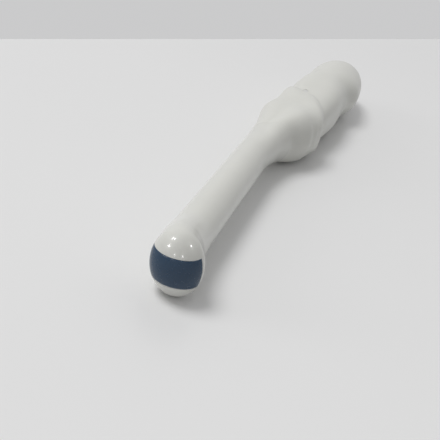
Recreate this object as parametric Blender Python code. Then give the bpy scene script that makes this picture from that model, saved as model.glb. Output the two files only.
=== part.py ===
"""Endocavity ultrasound probe, lying at rest on a flat surface.

Probe frame while modelling: +Y runs from the nose to the cable inlet along the tube's axis, with zero at
the nose's widest section. +X points to the side where the handle's belly bulges, and the lens arc lies in
the XY plane. +Z is across that plane, and the probe is symmetrical about it. At the end everything is
parented to an empty that rolls and tilts the probe onto the surface it rests on, at z = 0.
"""
import math

import bmesh
import bpy
from mathutils import Matrix, Vector

# Clearance
GAP = 0.0003                    # between pieces that seat on each other

# Nose and neck
HEAD_HALF_WIDTH = 0.0115        # along X
HEAD_HALF_HEIGHT = 0.0155       # along Z
NOSE_DEPTH = 0.0085             # from the widest section to the apex
HEAD_OFFSET = 0.0030            # nose centre, from the tube's axis towards the belly side
HEAD_STRAIGHT = 0.0030          # length that keeps the widest section
NECK_END = 0.0260               # where the neck has become the round tube

# Tube
TUBE_RADIUS = 0.0096
HOUSING_WALL = 0.0022
FLARE_LENGTH = 0.0100
JOINT_AT = 0.1420               # where the housing meets the handle
JOINT_RADIUS = 0.0108
SPIGOT_RADIUS = 0.0084
SPIGOT_LENGTH = 0.0140

# Handle: (place behind the joint, offset from the tube's axis, half depth, half thickness)
SHOULDER = (0.0120, 0.0029, 0.0131, 0.0127)
SWELL = (0.0240, 0.0034, 0.0160, 0.0140)
FLANK = (0.0360, 0.0080, 0.0169, 0.0147)
BELLY = (0.0460, 0.0102, 0.0182, 0.0165)
RIM = (0.0530, 0.0103, 0.0176, 0.0161)
RIM_FOOT = (0.0590, 0.0110, 0.0152, 0.0144)
WAIST = (0.0680, 0.0116, 0.0168, 0.0150)
SADDLE = (0.0840, 0.0136, 0.0181, 0.0165)
BACK = (0.1000, 0.0139, 0.0187, 0.0170)
BULB = (0.1180, 0.0179, 0.0209, 0.0175)
BELLY_FULLNESS = 3.0            # exponent of the belly's sections, 2 for a plain ellipse
RIM_SLANT = 0.0200              # how far the rim leads on the belly's side and trails on the other
SLANT_END = 0.1050              # where the sections are upright again, from the joint
TAIL_OFFSET = 0.0178
TAIL_LENGTH = 0.0520            # from the bulb's widest section to the dome's virtual end
TAIL_FULLNESS = 2.6             # exponent of the tail dome's curve
TAIL_FLAT_RADIUS = 0.0090       # of the flat that the gland sits on
HANDLE_WALL = 0.0022
TAIL_WALL = 0.0030
SOCKET_RUN_OUT = 0.0030         # length over which the socket opens into the cavity

# Lens and array
LENS_HALF_HEIGHT = 0.0070
LENS_RIM = 0.0015               # from the lens's end to the nose's widest section
ARRAY_CENTRE_BACK = 0.0032      # centre of the array's arc, behind the widest section
LENS_BACK_RADIUS = 0.0105
MATCHING_THICKNESS = 0.0003
PIEZO_THICKNESS = 0.0004
KERF_DEPTH = 0.0002
KERF_COUNT = 16
ARRAY_HALF_ANGLE = math.radians(60)
ARRAY_HALF_HEIGHT = 0.0040
BACKING_END = 0.0065
SENSOR_SIZE = (0.0030, 0.0016, 0.0020)
FLEX_HALF_WIDTH = 0.0045
FLEX_THICKNESS = 0.0003
FLEX_START = -0.0030
FLEX_END = 0.0235
CARRIER_HALF_HEIGHT = 0.0069
CARRIER_ARM_THICKNESS = 0.0018
CARRIER_ARM_HALF_WIDTH = 0.0065
BULKHEAD_THICKNESS = 0.0030

# Along the tube
BAR_HALF_WIDTH = 0.0050
BAR_HALF_THICKNESS = 0.0014
RIBBON_HALF_WIDTH = 0.0045
RIBBON_THICKNESS = 0.0023
RIBBON_START = 0.0150
SHIELD_THICKNESS = 0.0003
SEAL_RADIUS = 0.0004           # of the seal ring's own section
SEAL_AT = 0.0070                # from the joint
SEAL_GROOVE_DEPTH = 0.0011
SEAL_GROOVE_HALF_WIDTH = 0.0010
GROOVE_TAPER = 0.0002

# In the handle, places counted from the joint
CHASSIS_START = 0.0180
CHASSIS_END = 0.1400
CHASSIS_HALF_THICKNESS = 0.0008
BOARD_START = 0.0300
BOARD_END = 0.1080
BOARD_HALF_WIDTH = 0.0105
BOARD_THICKNESS = 0.0010
BOARD_HEIGHT = 0.0044           # from the parting plane to the board's inner face
SCREW_INSET = 0.0025
SCREW_RADIUS = 0.0010
SCREW_HEAD_RADIUS = 0.0019
SCREW_HEAD_HEIGHT = 0.0013
POST_RADIUS = 0.0022
CONNECTOR_SIZE = (0.0100, 0.0065)
HEADER_SIZE = (0.0140, 0.0060, 0.0035)
HEADER_INSET = 0.0080
CAN_START = 0.0220
CAN_END = 0.1350
CAN_THICKNESS = 0.0005
CLAMP_AT = 0.1280
CLAMP_LENGTH = 0.0080
CLAMP_HALF_WIDTH = 0.0090
CLAMP_ARCH = 0.0018             # wall of the clamp's arch
CLAMP_EAR = 0.0024              # thickness of its ears

# Cable inlet
CABLE_BORE_RADIUS = 0.0036
GLAND_NECK_RADIUS = 0.0056
GLAND_FLANGE_RADIUS = 0.0076
GLAND_FLANGE_THICKNESS = 0.0020
LOCK_RING_RADIUS = 0.0080
LOCK_RING_THICKNESS = 0.0025
GLAND_TAIL = 0.0010             # neck that stands past the lock ring

# Orientation marker, in the saddle behind the rim
MARKER_AT = 0.0618              # from the joint
MARKER_ANGLE = math.radians(95.5)
MARKER_HALF_LENGTH = 0.0026
MARKER_HALF_WIDTH = 0.0018
MARKER_DEPTH = 0.0009
MARKER_SINK = 0.0001            # how far the marker's face lies below the shell

# How it lies
REST_ROLL = math.radians(-4.5)  # belly side up

# Facets
ROUND = 36                      # sides of the large round sections
SMALL_ROUND = 20                # sides of the small round sections
SCREW_SIDES = 10
ARC_STEPS = 21                  # points along each of the array's arcs
DOME_RINGS = 8
HOLLOW_DOME_RINGS = 4
HANDLE_STEPS = 38               # sections of the handle's skin as far as the bulb
TAIL_STEPS = 6
HOLLOW_STEPS = 20
HOLLOW_TAIL_STEPS = 5
CAN_SIDES = 18                  # along each can's arc

# Finishes: base colour, roughness, metallic
WHITE_PLASTIC = ((0.80, 0.80, 0.76), 0.30, 0.0)
LENS_SILICONE = ((0.045, 0.085, 0.135), 0.35, 0.0)
OUTER_EPOXY = ((0.75, 0.66, 0.42), 0.5, 0.0)
INNER_EPOXY = ((0.24, 0.24, 0.25), 0.5, 0.0)
PIEZO_CERAMIC = ((0.55, 0.50, 0.38), 0.6, 0.0)
BACKING_RUBBER = ((0.05, 0.05, 0.055), 0.8, 0.0)
SENSOR_EPOXY = ((0.10, 0.18, 0.32), 0.4, 0.0)
FLEX_POLYIMIDE = ((0.70, 0.36, 0.10), 0.4, 0.0)
RIBBON_JACKET = ((0.35, 0.40, 0.48), 0.6, 0.0)
BOARD_LAMINATE = ((0.02, 0.22, 0.09), 0.45, 0.0)
CONNECTOR_PLASTIC = ((0.85, 0.82, 0.70), 0.5, 0.0)
HEADER_PLASTIC = ((0.04, 0.04, 0.045), 0.5, 0.0)
SHIELD_COPPER = ((0.78, 0.45, 0.30), 0.35, 1.0)
ALUMINIUM = ((0.75, 0.76, 0.78), 0.37, 1.0)
SEAL_RUBBER = ((0.03, 0.03, 0.035), 0.7, 0.0)
SCREW_STEEL = ((0.62, 0.63, 0.65), 0.3, 1.0)
TURNED_BRASS = ((0.78, 0.62, 0.30), 0.3, 1.0)
CLAMP_PLASTIC = ((0.10, 0.10, 0.11), 0.5, 0.0)
GLAND_PLASTIC = ((0.62, 0.62, 0.60), 0.45, 0.0)
MARKER_PLASTIC = ((0.55, 0.55, 0.52), 0.4, 0.0)


def clear_scene():
    for item in list(bpy.data.objects):
        bpy.data.objects.remove(item, do_unlink=True)


def material(name, colour, roughness, metallic):
    made = bpy.data.materials.new(name)
    made.use_nodes = True
    shader = made.node_tree.nodes["Principled BSDF"]
    shader.inputs["Base Color"].default_value = (*colour, 1.0)
    shader.inputs["Roughness"].default_value = roughness
    shader.inputs["Metallic"].default_value = metallic
    return made


# Outline of the probe

def smooth_value(knots, x):
    """Value at x of the smooth curve through (place, value) knots, without overshoot between them."""
    places = [knot[0] for knot in knots]
    values = [knot[1] for knot in knots]
    if x <= places[0]:
        return values[0]
    if x >= places[-1]:
        return values[-1]
    steps = [b - a for a, b in zip(places, places[1:])]
    slopes = [(b - a) / step for a, b, step in zip(values, values[1:], steps)]
    tangents = [0.0]
    for before, after, left, right in zip(slopes, slopes[1:], steps, steps[1:]):
        if before * after <= 0.0:
            tangents.append(0.0)
        else:
            first = 2.0 * right + left
            second = right + 2.0 * left
            tangents.append((first + second) / (first / before + second / after))
    tangents.append(slopes[-1])
    k = max(i for i, place in enumerate(places[:-1]) if place <= x)
    t = (x - places[k]) / steps[k]
    keep = (1.0 + 2.0 * t) * (1.0 - t) ** 2
    lean = t * (1.0 - t) ** 2
    gain = t * t * (3.0 - 2.0 * t)
    pull = t * t * (t - 1.0)
    return (keep * values[k] + lean * steps[k] * tangents[k]
            + gain * values[k + 1] + pull * steps[k] * tangents[k + 1])


def stations():
    """(place, offset, half depth, half thickness) from the nose's widest section to the bulb."""
    tube_end = JOINT_AT - FLARE_LENGTH
    rows = [
        (0.0, HEAD_OFFSET, HEAD_HALF_WIDTH, HEAD_HALF_HEIGHT),
        (HEAD_STRAIGHT, HEAD_OFFSET, HEAD_HALF_WIDTH, HEAD_HALF_HEIGHT),
        (NECK_END, 0.0, TUBE_RADIUS, TUBE_RADIUS),
        (tube_end, 0.0, TUBE_RADIUS, TUBE_RADIUS),
        (JOINT_AT, 0.0, JOINT_RADIUS, JOINT_RADIUS),
    ]
    rows += [(JOINT_AT + mark[0], *mark[1:]) for mark in handle_marks()]
    rows.append((JOINT_AT + BULB[0] + TAIL_LENGTH, TAIL_OFFSET, *BULB[2:]))
    return rows


def handle_marks():
    return [SHOULDER, SWELL, FLANK, BELLY, RIM, RIM_FOOT, WAIST, SADDLE, BACK, BULB]


def outline(y):
    """Offset, half depth and half thickness of the outer surface at y, behind the widest nose section."""
    table = stations()
    offset, depth, thickness = (
        smooth_value([(row[0], row[column]) for row in table], y) for column in (1, 2, 3))
    past_bulb = (y - JOINT_AT - BULB[0]) / TAIL_LENGTH
    if past_bulb > 0.0:
        shrink = (1.0 - past_bulb ** TAIL_FULLNESS) ** (1.0 / TAIL_FULLNESS)
        depth *= shrink
        thickness *= shrink
    return offset, depth, thickness


def tail_face():
    """Place of the flat face at the handle's rear end."""
    small = TAIL_FLAT_RADIUS / BULB[3]
    share = (1.0 - small ** TAIL_FULLNESS) ** (1.0 / TAIL_FULLNESS)
    return JOINT_AT + BULB[0] + TAIL_LENGTH * share


def slant(y):
    """How far the section at y runs forward on the belly's side, and back on the other side."""
    rim, foot = JOINT_AT + RIM[0], JOINT_AT + RIM_FOOT[0]
    knots = [(JOINT_AT, 0.0), (rim, RIM_SLANT), (foot, RIM_SLANT), (JOINT_AT + SLANT_END, 0.0),
             (JOINT_AT + BULB[0], 0.0)]
    return smooth_value(knots, y)


def fullness(y):
    """Exponent of the handle's section at y."""
    knots = [(JOINT_AT, 2.0), (JOINT_AT + BELLY[0], BELLY_FULLNESS), (JOINT_AT + WAIST[0], BELLY_FULLNESS),
             (JOINT_AT + BULB[0], 2.0), (JOINT_AT + BULB[0] + TAIL_LENGTH, 2.0)]
    return smooth_value(knots, y)


def station_at(y, lean):
    """Place of the slanted section that passes y where its angle has this cosine."""
    place = y
    for _ in range(40):
        place = y + slant(place) * lean
    return place


def handle_point(y, angle, inset=0.0):
    """Point in the plane at y of the handle's surface, or of the one that lies the inset deeper."""
    lean = math.cos(angle)
    place = station_at(y, lean)
    offset, depth, thickness = outline(place)
    power = 2.0 / fullness(place)
    across = math.copysign(abs(lean) ** power, lean)
    height = math.copysign(abs(math.sin(angle)) ** power, math.sin(angle))
    return Vector((offset + (depth - inset) * across, y, (thickness - inset) * height))


def edge_angle(y, lean, height, inset):
    """Angle at which the handle's section reaches a height, on the belly's side if lean is 1."""
    place = station_at(y, lean)
    share = height / (outline(place)[2] - inset)
    angle = math.asin(share ** (0.5 * fullness(place)))
    return angle if lean > 0.0 else math.pi - angle


def handle_edge(y, lean, height=0.0, inset=0.0):
    """X of the handle's section at a height, on the belly's side if lean is 1, else on the other."""
    return handle_point(y, edge_angle(y, lean, height, inset), inset).x


def handle_middle(y):
    return 0.5 * (handle_edge(y, 1.0) + handle_edge(y, -1.0))


def half_section(y, side, low, inset=0.0, count=ROUND // 2):
    """The handle's section on one side of the parting plane, from one end at height low to the other."""
    ends = [edge_angle(y, lean, low, inset) for lean in (1.0, -1.0)]
    points = [handle_point(y, angle, inset) for angle in spread(*ends, count + 1)]
    points[0].z = points[-1].z = low
    for point in points:
        point.z *= side
    return points


def inner_half_width(y, z, wall):
    """Half width along X of the hollow inside the outline at height z, with the given wall."""
    depth, thickness = (half - wall for half in outline(y)[1:])
    return depth * math.sqrt(1.0 - (z / thickness) ** 2)


def spread(start, end, count):
    return [start + (end - start) * i / (count - 1) for i in range(count)]


# Mesh tools

def ellipse(y, offset, depth, thickness, sides=ROUND, start=0.0, turn=2.0 * math.pi, closed=True):
    count = sides if closed else sides + 1
    points = []
    for i in range(count):
        angle = start + turn * i / sides
        points.append(Vector((offset + depth * math.cos(angle), y, thickness * math.sin(angle))))
    return points


def outline_ring(y, inset=0.0, sides=ROUND):
    offset, depth, thickness = outline(y)
    return ellipse(y, offset, depth - inset, thickness - inset, sides)


def nose_rings(count, inset=0.0):
    """Rings of the nose's dome from its apex to its widest section, each smaller by the inset."""
    rings = []
    for i in range(1, count + 1):
        angle = 0.5 * math.pi * i / count
        y = -(NOSE_DEPTH - inset) * math.cos(angle)
        across = math.sin(angle)
        rings.append(ellipse(y, HEAD_OFFSET, (HEAD_HALF_WIDTH - inset) * across,
                             (HEAD_HALF_HEIGHT - inset) * across))
    return rings


def make_object(name, mesh, finish, smooth_angle=35.0):
    """Object with a material of its own, made from the finish: colour, roughness and metallic value."""
    mesh.materials.append(material(name, *finish))
    mesh.shade_smooth()
    mesh.set_sharp_from_angle(angle=math.radians(smooth_angle))
    made = bpy.data.objects.new(name, mesh)
    bpy.context.collection.objects.link(made)
    return made


def finish_mesh(name, build, finish):
    bmesh.ops.recalc_face_normals(build, faces=build.faces)
    mesh = bpy.data.meshes.new(name)
    build.to_mesh(mesh)
    build.free()
    return make_object(name, mesh, finish)


def add_loft(build, rings, tip_first=None, tip_last=None):
    """Skin rings of equal count; each end closes in its tip, or in a flat face where it has none."""
    loops = [[build.verts.new(point) for point in ring] for ring in rings]
    for near, far in zip(loops, loops[1:]):
        count = len(near)
        for i in range(count):
            j = (i + 1) % count
            build.faces.new((near[i], near[j], far[j], far[i]))
    for loop, tip in ((loops[0], tip_first), (loops[-1], tip_last)):
        if tip is None:
            build.faces.new(loop)
        else:
            point = build.verts.new(tip)
            for i in range(len(loop)):
                build.faces.new((loop[i], loop[(i + 1) % len(loop)], point))


def loft(name, rings, finish, tip_first=None, tip_last=None):
    build = bmesh.new()
    add_loft(build, rings, tip_first, tip_last)
    return finish_mesh(name, build, finish)


def add_prism(build, points, low, high):
    """A flat outline of (x, y) points given a thickness from z = low to z = high."""
    add_loft(build, [[Vector((x, y, z)) for x, y in points] for z in (low, high)])


def prism(name, points, low, high, finish):
    build = bmesh.new()
    add_prism(build, points, low, high)
    return finish_mesh(name, build, finish)


def add_rod(build, centre, radius, low, high, bore=0.0, sides=SMALL_ROUND):
    """An upright round bar on (x, y), or a tube if it has a bore."""
    def ring(reach, z):
        return [Vector((centre[0] + reach * math.cos(2.0 * math.pi * i / sides),
                        centre[1] + reach * math.sin(2.0 * math.pi * i / sides), z)) for i in range(sides)]
    if bore:
        add_torus_skin(build, [ring(radius, low), ring(radius, high), ring(bore, high), ring(bore, low)])
    else:
        add_loft(build, [ring(radius, low), ring(radius, high)])


def add_torus_skin(build, rings):
    """Skin rings in order and join the last to the first, for a body with a hole through it."""
    loops = [[build.verts.new(point) for point in ring] for ring in rings]
    for near, far in zip(loops, loops[1:] + loops[:1]):
        count = len(near)
        for i in range(count):
            j = (i + 1) % count
            build.faces.new((near[i], near[j], far[j], far[i]))


def turned_ring(name, centre_x, profile, finish, sides=SMALL_ROUND):
    """A ring about the line x = centre_x along Y, from its (radius, y) profile."""
    build = bmesh.new()
    add_torus_skin(build, [ellipse(y, centre_x, radius, radius, sides) for radius, y in profile])
    return finish_mesh(name, build, finish)


def cut(target, cutter, operation="DIFFERENCE"):
    """Apply a boolean with a cutter that stays in the file as a hidden guide."""
    cutter.hide_render = True
    cutter.display_type = "WIRE"
    step = target.modifiers.new(operation.title(), "BOOLEAN")
    step.object = cutter
    step.operation = operation
    step.solver = "EXACT"


def arc_points(centre_x, centre_y, radius, from_angle, to_angle, count):
    """Points of an arc that opens to the rear: angle zero points to the nose's apex."""
    points = []
    for angle in spread(from_angle, to_angle, count):
        points.append((centre_x + radius * math.sin(angle), centre_y - radius * math.cos(angle)))
    return points


# Nose and tube

def insertion_housing(finish):
    neck = spread(HEAD_STRAIGHT, NECK_END, 7)
    flare = spread(JOINT_AT - FLARE_LENGTH, JOINT_AT, 4)
    outer = nose_rings(DOME_RINGS) + [outline_ring(y) for y in neck + flare]
    spigot_end = JOINT_AT + SPIGOT_LENGTH
    spigot = [ellipse(y, 0.0, SPIGOT_RADIUS, SPIGOT_RADIUS) for y in (JOINT_AT, spigot_end)]
    bore_radius = TUBE_RADIUS - HOUSING_WALL
    bore = [ellipse(spigot_end, 0.0, bore_radius, bore_radius)]
    inner_neck = [outline_ring(y, HOUSING_WALL) for y in reversed(neck)]
    cavity = list(reversed(nose_rings(HOLLOW_DOME_RINGS, HOUSING_WALL)))
    apex = Vector((HEAD_OFFSET, -NOSE_DEPTH, 0.0))
    inner_apex = Vector((HEAD_OFFSET, -NOSE_DEPTH + HOUSING_WALL, 0.0))
    rings = outer + spigot + bore + inner_neck + cavity
    housing = loft("insertion_housing", rings, finish, apex, inner_apex)
    reach = HEAD_OFFSET + 2.0 * HEAD_HALF_WIDTH
    front = -2.0 * NOSE_DEPTH
    back = GAP - LENS_RIM
    window = prism("window_cutter", [(-reach, front), (reach, front), (reach, back), (-reach, back)],
                   -LENS_HALF_HEIGHT - GAP, LENS_HALF_HEIGHT + GAP, finish)
    cut(housing, window)
    return housing


def acoustic_lens(finish):
    rings = nose_rings(DOME_RINGS)
    apex = Vector((HEAD_OFFSET, -NOSE_DEPTH, 0.0))
    lens = loft("acoustic_lens", rings, finish, tip_first=apex)
    end_angle = math.acos((ARRAY_CENTRE_BACK + LENS_RIM) / LENS_BACK_RADIUS)
    reach = 2.0 * HEAD_HALF_WIDTH
    front = -2.0 * NOSE_DEPTH
    points = arc_points(HEAD_OFFSET, ARRAY_CENTRE_BACK, LENS_BACK_RADIUS, -end_angle, end_angle, 25)
    points += [(HEAD_OFFSET + reach, -LENS_RIM), (HEAD_OFFSET + reach, front)]
    points += [(HEAD_OFFSET - reach, front), (HEAD_OFFSET - reach, -LENS_RIM)]
    shape = prism("lens_cutter", points, -LENS_HALF_HEIGHT, LENS_HALF_HEIGHT, finish)
    cut(lens, shape, "INTERSECT")
    return lens


def array_arc(radius):
    """Arc over the array's whole angle at a radius about its centre."""
    return arc_points(HEAD_OFFSET, ARRAY_CENTRE_BACK, radius, -ARRAY_HALF_ANGLE, ARRAY_HALF_ANGLE, ARC_STEPS)


def arc_strip(name, outer_radius, thickness, finish):
    """A thin layer of the array, between two arcs about its centre."""
    outer = array_arc(outer_radius)
    inner = array_arc(outer_radius - thickness)
    return prism(name, outer + list(reversed(inner)), -ARRAY_HALF_HEIGHT, ARRAY_HALF_HEIGHT, finish)


def outer_matching_radius():
    return LENS_BACK_RADIUS - GAP


def inner_matching_radius():
    return outer_matching_radius() - MATCHING_THICKNESS - GAP


def piezo_radius():
    return inner_matching_radius() - MATCHING_THICKNESS - GAP


def backing_radius():
    return piezo_radius() - PIEZO_THICKNESS - GAP


def piezo_array(finish):
    """The element row: one strip whose front is cut by kerfs into elements."""
    radius = piezo_radius()
    pitch = 2.0 * ARRAY_HALF_ANGLE / (2 * KERF_COUNT + 1)
    points = []
    for i in range(2 * KERF_COUNT + 1):
        face = radius - KERF_DEPTH * (i % 2)
        for edge in (i, i + 1):
            angle = -ARRAY_HALF_ANGLE + pitch * edge
            points.append((HEAD_OFFSET + face * math.sin(angle), ARRAY_CENTRE_BACK - face * math.cos(angle)))
    points += reversed(array_arc(radius - PIEZO_THICKNESS))
    return prism("piezo_array", points, -ARRAY_HALF_HEIGHT, ARRAY_HALF_HEIGHT, finish)


def backing_block(finish):
    points = array_arc(backing_radius())
    side = points[-1][0]
    points += [(side, BACKING_END), (2.0 * HEAD_OFFSET - side, BACKING_END)]
    return prism("backing_block", points, -ARRAY_HALF_HEIGHT, ARRAY_HALF_HEIGHT, finish)


def block(name, centre_x, half_width, start, end, low, high, finish):
    left, right = centre_x - half_width, centre_x + half_width
    return prism(name, [(left, start), (right, start), (right, end), (left, end)], low, high, finish)


def sensor_start():
    return BACKING_END + GAP


def bulkhead_start():
    return sensor_start() + SENSOR_SIZE[1] + GAP


def temperature_sensor(finish):
    width, length, height = SENSOR_SIZE
    return block("temperature_sensor", HEAD_OFFSET, 0.5 * width, sensor_start(), sensor_start() + length,
                 -0.5 * height, 0.5 * height, finish)


def lead_middle(y):
    """Middle of what runs from the nose to the boards: straight through the tube and its spigot."""
    if y < JOINT_AT - FLARE_LENGTH:
        return outline(y)[0]
    boards = JOINT_AT + BOARD_START
    return smooth_value([(JOINT_AT + SPIGOT_LENGTH, 0.0), (boards, handle_middle(boards))], y)


def strip(name, half_width, places, low, high, finish):
    """A flat band that follows the leads' middle line, between two heights."""
    rings = []
    for y in places:
        middle = lead_middle(y)
        rings.append([Vector((middle + side * half_width, y, z))
                      for side, z in ((-1, low), (1, low), (1, high), (-1, high))])
    return loft(name, rings, finish)


def flex_low():
    return ARRAY_HALF_HEIGHT + GAP


def flex_circuit(name, side, finish):
    heights = sorted((side * flex_low(), side * (flex_low() + FLEX_THICKNESS)))
    places = [FLEX_START] + spread(HEAD_STRAIGHT, FLEX_END, 7)
    return strip(name, FLEX_HALF_WIDTH, places, *heights, finish)


def array_carrier(finish):
    """Two arms that hold the lens, and the bulkhead behind the backing block that seats in the neck."""
    arm_top = CARRIER_HALF_HEIGHT
    arm_low = arm_top - CARRIER_ARM_THICKNESS
    start = bulkhead_start()
    end = start + BULKHEAD_THICKNESS
    seat = inner_half_width(end, CARRIER_HALF_HEIGHT, HOUSING_WALL) - GAP
    middle = outline(end)[0]
    body = block("array_carrier", middle, seat, start, end, -arm_top, arm_top, finish)
    reach = math.asin(CARRIER_ARM_HALF_WIDTH / outer_matching_radius())
    arc = arc_points(HEAD_OFFSET, ARRAY_CENTRE_BACK, outer_matching_radius(), -reach, reach, 13)
    overlap = start + 0.5 * BULKHEAD_THICKNESS
    width = min(CARRIER_ARM_HALF_WIDTH, seat)
    arm_outline = arc + [(middle + width, overlap), (middle - width, overlap)]
    for label, side in (("upper", 1), ("lower", -1)):
        low, high = sorted((side * arm_low, side * arm_top))
        cut(body, prism("carrier_arm_" + label, arm_outline, low, high, finish), "UNION")
        low, high = sorted((side * (flex_low() - GAP), side * (flex_low() + FLEX_THICKNESS + GAP)))
        slot = block("carrier_slot_" + label, middle, FLEX_HALF_WIDTH + 3.0 * GAP, start - GAP, end + GAP,
                     low, high, finish)
        cut(body, slot)
    return body


# Along the tube

def ribbon_low():
    return BAR_HALF_THICKNESS + GAP


def heat_bar(finish):
    start = bulkhead_start() + BULKHEAD_THICKNESS + GAP
    end = JOINT_AT + CHASSIS_START - GAP
    places = spread(start, NECK_END, 5) + spread(JOINT_AT + SPIGOT_LENGTH, end, 3)
    return strip("heat_bar", BAR_HALF_WIDTH, places, -BAR_HALF_THICKNESS, BAR_HALF_THICKNESS, finish)


def lead_ribbon(name, side, finish):
    heights = sorted((side * ribbon_low(), side * (ribbon_low() + RIBBON_THICKNESS)))
    end = JOINT_AT + BOARD_START
    places = spread(RIBBON_START, NECK_END, 4) + spread(JOINT_AT + SPIGOT_LENGTH, end, 6)
    return strip(name, RIBBON_HALF_WIDTH, places, *heights, finish)


def tube_shield(finish):
    outer = TUBE_RADIUS - HOUSING_WALL - GAP
    inner = outer - SHIELD_THICKNESS
    start = NECK_END + GAP
    end = JOINT_AT + SPIGOT_LENGTH - GAP
    profile = [(outer, start), (outer, end), (inner, end), (inner, start)]
    return turned_ring("tube_shield", 0.0, profile, finish, sides=24)


def socket_radius():
    return SPIGOT_RADIUS + GAP


def tube_seal(finish):
    middle = socket_radius() + SEAL_RADIUS
    steps = 6
    profile = []
    for i in range(steps):
        angle = 2.0 * math.pi * i / steps
        profile.append((middle + SEAL_RADIUS * math.cos(angle),
                        JOINT_AT + SEAL_AT + SEAL_RADIUS * math.sin(angle)))
    return turned_ring("tube_seal", 0.0, profile, finish, sides=24)


# Handle

def handle_places(steps, tail_steps):
    """Sections along the handle: even steps as far as the bulb, then those of the tail's dome."""
    bulb = JOINT_AT + BULB[0]
    last = math.asin((tail_face() - bulb) / TAIL_LENGTH)
    places = spread(JOINT_AT, bulb, steps + 1)[:-1]
    places += [bulb + TAIL_LENGTH * math.sin(last * i / tail_steps) for i in range(tail_steps + 1)]
    return places


def hollow_places():
    """Sections of the hollow, with those at the ends of what lines or fills it."""
    ends = [JOINT_AT + at for at in (CHASSIS_START, CAN_START, CAN_END, CHASSIS_END)]
    between = [y for y in handle_places(HOLLOW_STEPS, HOLLOW_TAIL_STEPS)
               if min(abs(y - end) for end in ends) > GAP]
    return sorted(between + ends)


def cavity_round(y):
    """Offset and radius of the hollow at y where it is round: at the groove, the socket and the inlet."""
    if abs(y - JOINT_AT - SEAL_AT) < SEAL_GROOVE_HALF_WIDTH + 0.5 * GROOVE_TAPER:
        return 0.0, socket_radius() + SEAL_GROOVE_DEPTH
    if y <= JOINT_AT + SPIGOT_LENGTH + GAP:
        return 0.0, socket_radius()
    if y >= tail_face() - TAIL_WALL + GROOVE_TAPER:
        return inlet_offset(), inlet_hole_radius()
    return None


def inlet_offset():
    return outline(tail_face())[0]


def inlet_hole_radius():
    return GLAND_NECK_RADIUS + GAP


def cavity_places():
    """The hollow's own sections: socket, seal groove, main hollow and the inlet's hole."""
    seal = JOINT_AT + SEAL_AT
    half = SEAL_GROOVE_HALF_WIDTH
    socket_end = JOINT_AT + SPIGOT_LENGTH + GAP
    hole_start = tail_face() - TAIL_WALL
    places = [JOINT_AT + GAP, seal - half - GROOVE_TAPER, seal - half, seal + half,
              seal + half + GROOVE_TAPER, socket_end]
    opened = socket_end + SOCKET_RUN_OUT
    main = [y for y in hollow_places() if opened + GAP < y < hole_start - GAP]
    return places + [opened] + main + [hole_start, hole_start + GROOVE_TAPER, tail_face()]


def handle_shell(name, side, finish):
    """One half of the handle: its outer skin and its hollow, joined along the parting plane."""
    seam = 0.5 * GAP
    places = handle_places(HANDLE_STEPS, TAIL_STEPS)
    skin_places = [JOINT_AT + GAP] + [y for y in places if y > JOINT_AT + GAP]

    def hollow_section(y):
        section = cavity_round(y)
        if section is None:
            return half_section(y, side, seam, HANDLE_WALL)
        offset, radius = section
        points = ellipse(y, offset, radius, radius, sides=ROUND // 2, turn=side * math.pi, closed=False)
        points[0].z = points[-1].z = side * seam
        return points

    outer = [half_section(y, side, seam) for y in skin_places]
    inner = [hollow_section(y) for y in cavity_places()]
    build = bmesh.new()
    skins = []
    for rings in (outer, inner):
        loops = [[build.verts.new(point) for point in ring] for ring in rings]
        for near, far in zip(loops, loops[1:]):
            for i in range(len(near) - 1):
                build.faces.new((near[i], near[i + 1], far[i + 1], far[i]))
        skins.append(loops)
    outer_loops, inner_loops = skins
    for edge in (0, -1):
        outer_edge = [loop[edge] for loop in outer_loops]
        inner_edge = [loop[edge] for loop in inner_loops]
        build.faces.new(outer_edge + list(reversed(inner_edge)))
    for end in (0, -1):
        build.faces.new(outer_loops[end] + list(reversed(inner_loops[end])))
    return finish_mesh(name, build, finish)


def chassis_points():
    """Outline of the plate between the shells, with the walls' clearance all round."""
    start, end = JOINT_AT + CHASSIS_START, JOINT_AT + CHASSIS_END
    left, right = [], []
    for y in [start] + [y for y in hollow_places() if start + GAP < y < end - GAP] + [end]:
        left.append((handle_edge(y, -1.0, CHASSIS_HALF_THICKNESS, HANDLE_WALL) + GAP, y))
        right.append((handle_edge(y, 1.0, CHASSIS_HALF_THICKNESS, HANDLE_WALL) - GAP, y))
    return right + list(reversed(left))


def handle_chassis(finish):
    """The frame plate in the parting plane, with holes for the posts and the clamp's screws."""
    half = CHASSIS_HALF_THICKNESS
    reach = 2.0 * half
    plate = prism("handle_chassis", chassis_points(), -half, half, finish)
    posts = board_corners(SCREW_INSET)
    cut(plate, screw_holes("post_holes", posts, POST_RADIUS + GAP, -reach, reach, finish))
    cut(plate, screw_holes("clamp_holes", clamp_screw_places(), SCREW_RADIUS + GAP, -reach, reach, finish))
    return plate


def board_corners(inset=0.0):
    corners = []
    for y, side in ((BOARD_START + inset, 1), (BOARD_END - inset, 1),
                    (BOARD_END - inset, -1), (BOARD_START + inset, -1)):
        middle = handle_middle(JOINT_AT + y)
        corners.append((middle + side * (BOARD_HALF_WIDTH - inset), JOINT_AT + y))
    return corners


def interconnect_board(name, side, finish):
    low, high = sorted((side * BOARD_HEIGHT, side * (BOARD_HEIGHT + BOARD_THICKNESS)))
    board = prism(name, board_corners(), low, high, finish)
    cut(board, screw_holes(name + "_holes", board_corners(SCREW_INSET), SCREW_RADIUS + GAP,
                           low - BOARD_THICKNESS, high + BOARD_THICKNESS, finish))
    return board


def board_post(name, corner, finish):
    """A tubular post that stands in a hole of the chassis and carries both boards."""
    build = bmesh.new()
    reach = BOARD_HEIGHT - GAP
    add_rod(build, corner, POST_RADIUS, -reach, reach, bore=SCREW_RADIUS + GAP, sides=SCREW_SIDES)
    return finish_mesh(name, build, finish)


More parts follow.
